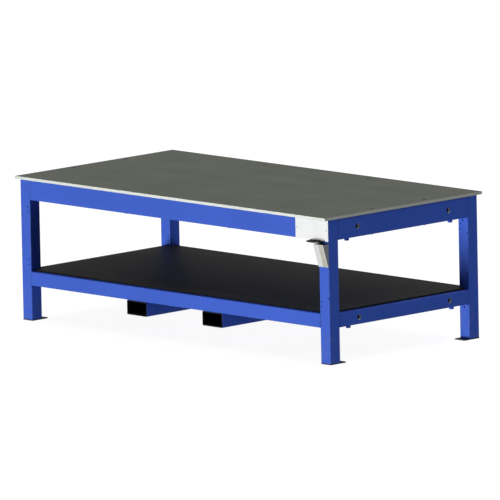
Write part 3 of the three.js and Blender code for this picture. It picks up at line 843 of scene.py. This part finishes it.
def foot_plate(node, side_y):
    """A foot plate with an anchor hole in the middle of its reach past the leg."""
    low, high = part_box(node)
    leg_low, leg_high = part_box(node.replace("foot_plate", "leg"))
    reach = leg_low.y - low.y if side_y > 0 else high.y - leg_high.y
    hole_y = low.y + reach / 2 if side_y > 0 else high.y - reach / 2
    outline = rounded(low.x, high.x, low.y, high.y, FOOT_RADIUS)
    plate = raw(node + "_sheet", slab("z", outline, low.z, high.z, FOOT_EDGE), foot_black)
    cutters = bmesh.new()
    hole(cutters, "z", ((low.x + high.x) / 2, hole_y, low.z), ANCHOR_RADIUS, ANCHOR_CUTTER)
    carve(plate, cutters)
    settle(plate, "foot_paint", node)


for name_y, side_y in ENDS:
    for name_x, _ in SIDES:
        foot_plate(f"foot_plate_{name_y}_{name_x}", side_y)


# Sleeves of the side rails

BUSH_WALL = 0.0025
BUSH_CHAMFER = 0.0005
BUSH_ROUND = 64

# A face belongs to the bore up to this share of the chamfer beyond it
BORE_SHARE = 0.4


def bush(node):
    """A turned sleeve with chamfered ends, painted over on its end and bare in its bore."""
    low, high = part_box(node)
    middle = (low + high) / 2
    outer, half = (high.z - low.z) / 2, (high.x - low.x) / 2
    bore = outer - BUSH_WALL
    chamfer = BUSH_CHAMFER
    bm = bmesh.new()
    lathe(bm, "x", middle, [
        (bore, -half + chamfer), (bore + chamfer, -half), (outer - chamfer, -half), (outer, -half + chamfer),
        (outer, half - chamfer), (outer - chamfer, half), (bore + chamfer, half), (bore, half - chamfer)],
        sides=BUSH_ROUND, closed=True)
    for face in bm.faces:
        at = face.calc_center_median()
        in_bore = math.hypot(at.y - middle.y, at.z - middle.z) < bore + chamfer * BORE_SHARE
        face.material_index = 1 if in_bore else 0
    settle(raw(node + "_sleeve", bm, frame_blue, turned_steel), "bush_steel", node, along="x")


# Flanged bolts of the side rails: head across flats and its height, flange and shank by radius

HEAD_FLATS = 0.024
HEAD_HEIGHT = 0.017
HEAD_CHAMFER = math.radians(30)
HEAD_BELOW_SEAT = 0.0052
FLANGE = 0.0170
RAIL_BOLT_SHANK = 0.0080

# The head's end face as a share of its flats, and the dish in it as shares of that face, with heights
HEAD_FACE = 0.95
HEAD_DISH = ((0.72, 0.0010), (0.80, 0), (1, 0))

# The flange: how far each ring lies within its rim, and how far below the seat
FLANGE_RINGS = ((0.0020, 0.0040), (0.0004, 0.0022), (0, 0.0014), (0, 0))


def rail_bolt(node):
    """A flanged hexagon bolt, head down, painted with the frame."""
    low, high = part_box(node)
    x, y, _ = (low + high) / 2
    bottom = low.z
    seat = bottom + HEAD_HEIGHT
    face = HEAD_FLATS / 2 * HEAD_FACE
    bm = bmesh.new()
    rings = rings_of(bm, "z", x, y, [(circle, face * share, bottom + rise) for share, rise in HEAD_DISH])
    chamfered = []
    for (u, v), angle in zip(hexagon(x, y, HEAD_FLATS), turns(ROUND)):
        rise = (hexagon_radius(HEAD_FLATS, angle) - face) * math.tan(HEAD_CHAMFER)
        chamfered.append(bm.verts.new((u, v, bottom + rise)))
    rings.append(chamfered)
    profile = [(hexagon, HEAD_FLATS, seat - HEAD_BELOW_SEAT)]
    profile += [(circle, FLANGE - within, seat - below) for within, below in FLANGE_RINGS]
    profile += [(circle, RAIL_BOLT_SHANK, seat), (circle, RAIL_BOLT_SHANK, high.z)]
    rings += rings_of(bm, "z", x, y, profile)
    stack(bm, rings)
    settle(raw(node + "_head", bm, frame_blue), "frame_paint", node, sharp=28)


for name_x, _ in SIDES:
    for level in ("upper", "lower"):
        for name_y, _ in ENDS:
            bush(f"side_bush_{name_x}_{level}_{name_y}")
            rail_bolt(f"rail_bolt_{name_x}_{level}_{name_y}")


# Corner plate and its blind rivets, whose half outline is given by radius and depth from the front

CORNER_RADIUS = 0.003
CORNER_EDGE = 0.0004
MANDREL = ((0, 0.0007), (0.0013, 0.0007), (0.0014, 0.0002))
DOME = ((0.0019, 0.0000), (0.0029, 0.0003), (0.0038, 0.0009), (0.0044, 0.0016), (0.0045, 0.0020))
RIVET_SHANK = 0.0024
RIVET_HEAD_DEPTH = 0.0020


def corner_plate():
    low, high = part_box("corner_plate")
    outline = rounded(low.x, high.x, low.z, high.z, CORNER_RADIUS)
    sheet = raw("corner_plate_sheet", slab("y", outline, low.y, high.y, CORNER_EDGE), aluminium)
    settle(sheet, "plate_metal", "corner_plate")


def rivet(node):
    """A blind rivet: a low dome with the end of its mandrel in it."""
    low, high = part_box(node)
    x, _, z = (low + high) / 2
    depth = high.y - low.y
    shank = ((RIVET_SHANK, RIVET_HEAD_DEPTH), (RIVET_SHANK, depth), (0, depth))
    bm = bmesh.new()
    lathe(bm, "y", (x, low.y, z), MANDREL + DOME + shank)
    settle(raw(node + "_dome", bm, zinc), "bolt_steel", node, along="y")


corner_plate()
for name_x, _ in SIDES:
    rivet(f"plate_rivet_{name_x}")


# Bottle opener: its lip, the hole that takes a cap, and the tooth that lifts it

LIP_GAP = 0.0003
LIP_CORNER = 0.003
LIP_SQUARENESS = 2.4
LIP_STEPS = 72
LIP_EDGE = 0.0008
CAP_RADIUS = 0.015
CAP_FROM_LEG = 0.020
CAP_FROM_RAIL = 0.030
CAP_ROUND = 96
TOOTH_HALF = 0.004
TOOTH_REACH = 0.005
LIP_CUTTER_SPARE = 0.002


def opener():
    """A flat lip with a rounded front, between a circle and a square, and a toothed hole."""
    low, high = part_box("bottle_opener")
    rail_y = top_rail_low.y
    leg_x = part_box("leg_front_right")[0].x
    middle, half = (low.x + high.x) / 2, (high.x - low.x) / 2
    reach = rail_y - low.y - LIP_GAP
    power = 2 / LIP_SQUARENESS
    outline = [(leg_x - LIP_GAP, high.y), (low.x + LIP_CORNER, high.y), (low.x, high.y - LIP_CORNER)]
    for step in range(LIP_STEPS + 1):
        angle = math.pi * (1 - step / LIP_STEPS)
        out = math.copysign(abs(math.cos(angle)) ** power, math.cos(angle))
        outline.append((middle + half * out, rail_y - LIP_GAP - reach * math.sin(angle) ** power))
    outline.append((leg_x - LIP_GAP, rail_y - LIP_GAP))
    lip = raw("bottle_opener_lip", slab("z", outline, low.z, high.z, LIP_EDGE), oxide)
    cap_x, cap_y = leg_x + CAP_FROM_LEG, rail_y - CAP_FROM_RAIL
    cap_hole = []
    for u, v in circle(0, 0, CAP_RADIUS, CAP_ROUND):
        if v > 0 and abs(u) <= TOOTH_HALF:
            v = min(v, CAP_RADIUS - TOOTH_REACH)
        cap_hole.append((cap_x + u, cap_y + v))
    cutters = bmesh.new()
    cut_through(cutters, "z", cap_hole, low.z - LIP_CUTTER_SPARE, high.z + LIP_CUTTER_SPARE)
    carve(lip, cutters)
    settle(lip, "opener_steel", "bottle_opener")


# Button-head screws: socket and dome as shares of the head's sizes, the socket's broken edge in metres

SOCKET_FLATS = 0.62
SOCKET_SHARE = 0.66
SOCKET_CONE_SHARE = 0.72
SOCKET_TIP = 0.3
SOCKET_MOUTH = 1.06
SOCKET_BREAK = 0.0002
DOME_FROM = 0.72
DOME_HEIGHT = 0.85
DOME_STEPS = 6

# Head radius, head height and shank radius
OPENER_SCREW = (0.0055, 0.003, 0.003)
CATCHER_SCREW = (0.004, 0.0025, 0.00225)


def button_screw(node, axis, head, height, shank, slot, material):
    """A button-head screw with a hexagon socket, its head towards the axis's low end."""
    (_, _, top), (_, _, end) = span_of(node, axis)
    u, v, _ = across(axis, middle_of(node))
    flats = head * SOCKET_FLATS
    profile = [
        (circle, flats * SOCKET_TIP, top + height * SOCKET_CONE_SHARE),
        (hexagon, flats, top + height * SOCKET_SHARE),
        (hexagon, flats, top + SOCKET_BREAK),
        (hexagon, flats * SOCKET_MOUTH, top),
    ]
    for step in range(DOME_STEPS + 1):
        turn = math.pi / 2 * step / DOME_STEPS
        radius = head * (DOME_FROM + (1 - DOME_FROM) * math.sin(turn))
        profile.append((circle, radius, top + height * (1 - math.cos(turn)) * DOME_HEIGHT))
    profile += [(circle, head, top + height), (circle, shank, top + height), (circle, shank, end)]
    bm = bmesh.new()
    stack(bm, rings_of(bm, axis, u, v, profile))
    settle(raw(node + "_button", bm, material), slot, node)


opener()
for name_x, _ in SIDES:
    button_screw(f"opener_screw_{name_x}", "z", *OPENER_SCREW, "opener_steel", oxide)
    button_screw(f"catcher_screw_{name_x}", "y", *CATCHER_SCREW, "bolt_steel", zinc)


# Cap catcher: a wedge of folded sheet with a pressed, turned panel in its front, hung by two keyholes

CATCHER_SHEET = 0.0015
CATCHER_FOLD = 0.0035
WIDEST_FOLD = 0.4
CATCHER_TOE = 0.0057
CATCHER_LEVELS = 12
# The front takes the stainless in its own colour; the pressed panel, the sides, the rim and the inside take
# darker copies, painted shade
FRONT, PANEL, SIDE, INSIDE_SHADE = range(4)

# The pressed panel: places across the front's width, and how far in as a share of its deepest place
PRESSED = ((0.47, 0.0), (0.49, 0.06), (0.51, 0.14), (0.87, 0.95),
           (0.89, 1.0), (0.905, 0.8), (0.925, 0.2), (0.940, 0.0))
PRESSED_DEPTH = 0.16
PANEL_FROM, PANEL_TO = 0.50, 0.90

# Faces of a side, and of the front: how much of the normal lies along X, and along Y, clear of the back
SIDEWAYS = 0.8
FORWARDS = 0.5
CLEAR_OF_BACK = 0.001

# Keyholes: radius of the slot and of the hole below it, half the angle that the slot takes of the hole
KEY_SLOT = 0.00265
KEY_HOLE = 0.005
KEY_NECK = 0.56
KEY_SLOT_STEPS = 16
KEY_HOLE_STEPS = 32
KEY_LIFT = 0.008
KEY_CUTTER = (-0.003, 0.002)


def catcher_outline(x0, x1, back, depth, fold):
    """Outline at one height, seen from above: depth is how far the front stands before the back."""
    width = x1 - x0
    front = back - depth
    fold = min(fold, depth * WIDEST_FOLD)
    quarter = [math.pi / 2 * step / CORNER_STEPS for step in range(CORNER_STEPS + 1)]
    points = [(x1, back), (x0, back)]
    for angle in quarter:
        points.append((x0 + fold * (1 - math.cos(angle)), front + fold * (1 - math.sin(angle))))
    for share, inwards in PRESSED:
        points.append((x0 + share * width, front + inwards * PRESSED_DEPTH * depth))
    for angle in reversed(quarter):
        points.append((x1 - fold * (1 - math.cos(angle)), front + fold * (1 - math.sin(angle))))
    return points


def keyhole(x, z):
    """A slot round a screw, and below it the hole that its head passes."""
    points = []
    for k in range(KEY_SLOT_STEPS + 1):
        turn = math.pi * k / KEY_SLOT_STEPS
        points.append((x + KEY_SLOT * math.cos(turn), z + KEY_SLOT * math.sin(turn)))
    for k in range(KEY_HOLE_STEPS + 1):
        turn = math.pi - KEY_NECK + (math.pi + 2 * KEY_NECK) * k / KEY_HOLE_STEPS
        points.append((x + KEY_HOLE * math.cos(turn), z - KEY_LIFT + KEY_HOLE * math.sin(turn)))
    return points


def catcher():
    low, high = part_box("cap_catcher")
    sheet = CATCHER_SHEET
    width, mouth, height = high.x - low.x, high.y - low.y, high.z - low.z
    bm = bmesh.new()
    levels = [k / CATCHER_LEVELS for k in range(CATCHER_LEVELS + 1)]
    outside, inside = [], []
    for level in levels:
        depth = CATCHER_TOE + (mouth - CATCHER_TOE) * level
        outer = catcher_outline(low.x, high.x, high.y, depth, CATCHER_FOLD)
        outside.append(ring(bm, "z", outer, low.z + height * level))
    for level in levels:
        depth = CATCHER_TOE + (mouth - CATCHER_TOE) * level - 2 * sheet
        z = max(low.z + height * level, low.z + sheet)
        inner = catcher_outline(low.x + sheet, high.x - sheet, high.y - sheet, depth, CATCHER_FOLD - sheet)
        inside.append(ring(bm, "z", inner, z))
    for first, second in zip(outside, outside[1:]):
        skin(bm, first, second, FRONT)
    bm.normal_update()
    panel_from, panel_to = low.x + PANEL_FROM * width, low.x + PANEL_TO * width
    for face in bm.faces:
        at = face.calc_center_median()
        on_front = abs(face.normal.y) > FORWARDS and at.y < high.y - CLEAR_OF_BACK
        # Sides take the darker copy: painted shade
        if abs(face.normal.x) > SIDEWAYS:
            face.material_index = SIDE
        # The pressed panel takes the darker beige copy: painted shade and reflection
        elif on_front and panel_from < at.x < panel_to:
            face.material_index = PANEL
    # Inner walls and floor take the near-black copy: painted shade
    for first, second in zip(inside, inside[1:]):
        skin(bm, first, second, INSIDE_SHADE)
    # The rim takes the sides' darker copy: painted shade
    skin(bm, outside[-1], inside[-1], SIDE)
    bm.faces.new(outside[0])
    bm.faces.new(inside[0]).material_index = INSIDE_SHADE
    box = raw("cap_catcher_sheet", bm, stainless, stainless_panel_shade, stainless_side_shade, stainless_inside_shade)
    cutters = bmesh.new()
    for name_x, _ in SIDES:
        x, _, z = middle_of(f"catcher_screw_{name_x}")
        start, end = (high.y + off for off in KEY_CUTTER)
        cut_through(cutters, "y", keyhole(x, z), start, end)
    carve(box, cutters)
    settle(box, "catcher_steel", "cap_catcher", body=CATCHER, sharp=40)


catcher()


# Floor and world: how white they are to the camera and in reflections, and the light they give

MIRRORED = 0.32
FLOOR_GLOW = 0.94
FLOOR_COLOUR = (0.25, 0.25, 0.25, 1)
FLOOR_RADIUS = 120
FLOOR_SIDES = 96
FLOOR_BELOW = 0.0004
WHITE = (1, 1, 1, 1)
AMBIENT = 0.03


def scaled(tree, socket, factor):
    node = tree.nodes.new("ShaderNodeMath")
    node.operation = "MULTIPLY"
    node.inputs[1].default_value = factor
    tree.links.new(socket, node.inputs[0])
    return node.outputs[0]


def seen_white(tree):
    """1 for what the camera or glass looks at, less in reflections, 0 for light that falls on things."""
    path = tree.nodes.new("ShaderNodeLightPath")
    total = path.outputs["Is Camera Ray"]
    mirrored = scaled(tree, path.outputs["Is Glossy Ray"], MIRRORED)
    for socket in (mirrored, path.outputs["Is Transmission Ray"]):
        node = tree.nodes.new("ShaderNodeMath")
        node.operation = "MAXIMUM"
        tree.links.new(total, node.inputs[0])
        tree.links.new(socket, node.inputs[1])
        total = node.outputs[0]
    return total


def floor():
    """A wide pale disc that shows the object's shadow and lets the low lights through from below."""
    material = bpy.data.materials.new("studio_floor")
    material.use_nodes = True
    tree = material.node_tree
    tree.nodes.clear()
    matte = tree.nodes.new("ShaderNodeBsdfDiffuse")
    matte.inputs["Color"].default_value = FLOOR_COLOUR
    glow = tree.nodes.new("ShaderNodeEmission")
    tree.links.new(scaled(tree, seen_white(tree), FLOOR_GLOW), glow.inputs["Strength"])
    both = tree.nodes.new("ShaderNodeAddShader")
    tree.links.new(matte.outputs[0], both.inputs[0])
    tree.links.new(glow.outputs[0], both.inputs[1])
    output = tree.nodes.new("ShaderNodeOutputMaterial")
    tree.links.new(both.outputs[0], output.inputs["Surface"])
    bm = bmesh.new()
    bmesh.ops.create_circle(bm, cap_ends=True, radius=FLOOR_RADIUS, segments=FLOOR_SIDES)
    for vert in bm.verts:
        vert.co.z = -FLOOR_BELOW
    obj = raw("floor", bm, material)
    obj.visible_shadow = False
    if obj.data.polygons[0].normal.z < 0:
        obj.data.flip_normals()


def studio_world():
    world = bpy.data.worlds.new("studio")
    scene.world = world
    world.use_nodes = True
    tree = world.node_tree
    tree.nodes.clear()
    soft = tree.nodes.new("ShaderNodeBackground")
    white = tree.nodes.new("ShaderNodeBackground")
    for node, strength in ((soft, AMBIENT), (white, 1.0)):
        node.inputs["Color"].default_value = WHITE
        node.inputs["Strength"].default_value = strength
    mix = tree.nodes.new("ShaderNodeMixShader")
    tree.links.new(seen_white(tree), mix.inputs[0])
    tree.links.new(soft.outputs[0], mix.inputs[1])
    tree.links.new(white.outputs[0], mix.inputs[2])
    output = tree.nodes.new("ShaderNodeOutputWorld")
    tree.links.new(mix.outputs[0], output.inputs["Surface"])


def sun(name, towards, strength, spread, highlights=True):
    """A soft light from far away, from the direction given, with its spread in degrees."""
    light = bpy.data.lights.new(name, "SUN")
    light.energy = strength
    light.angle = math.radians(spread)
    obj = bpy.data.objects.new(name, light)
    obj.rotation_euler = Vector(towards).to_track_quat("Z", "Y").to_euler()
    obj.visible_glossy = highlights
    scene.collection.objects.link(obj)


# Camera, as fitted to the photograph: angles in degrees, lens in millimetres, the rest in metres

AZIMUTH, ELEVATION, ROLL = 45.714, 9.0724, -1.1403
DISTANCE = 72.46
AIM = Vector((0, 0, 0.4))
OFF_RIGHT, OFF_UP = 0.0083, 0.0336
SENSOR = 36
LENS = 960
FARTHEST = 400


def camera():
    azimuth, elevation, roll = (math.radians(angle) for angle in (AZIMUTH, ELEVATION, ROLL))
    right = Vector((math.cos(azimuth), math.sin(azimuth), 0))
    back = Vector((math.sin(azimuth) * math.cos(elevation), -math.cos(azimuth) * math.cos(elevation),
                   math.sin(elevation)))
    up = back.cross(right)
    image_right = math.cos(roll) * right + math.sin(roll) * up
    image_up = math.cos(roll) * up - math.sin(roll) * right
    lens = bpy.data.cameras.new("camera")
    lens.sensor_width = SENSOR
    lens.lens = LENS
    lens.clip_end = FARTHEST
    obj = bpy.data.objects.new("camera", lens)
    obj.matrix_world = Matrix((image_right, image_up, back)).transposed().to_4x4()
    obj.location = AIM + OFF_RIGHT * image_right + OFF_UP * image_up + DISTANCE * back
    scene.collection.objects.link(obj)
    scene.camera = obj


floor()
studio_world()
sun("key", (-0.36, -1.0, -0.19), strength=2.74, spread=18)
sun("top", (0.10, 0.10, 1.0), strength=1.20, spread=70)
sun("fill", (0.85, 0.24, -0.22), strength=0.60, spread=20, highlights=False)
sun("back", (-0.40, 1.0, 0.35), strength=0.55, spread=60, highlights=False)
camera()
scene.view_settings.view_transform = "Standard"
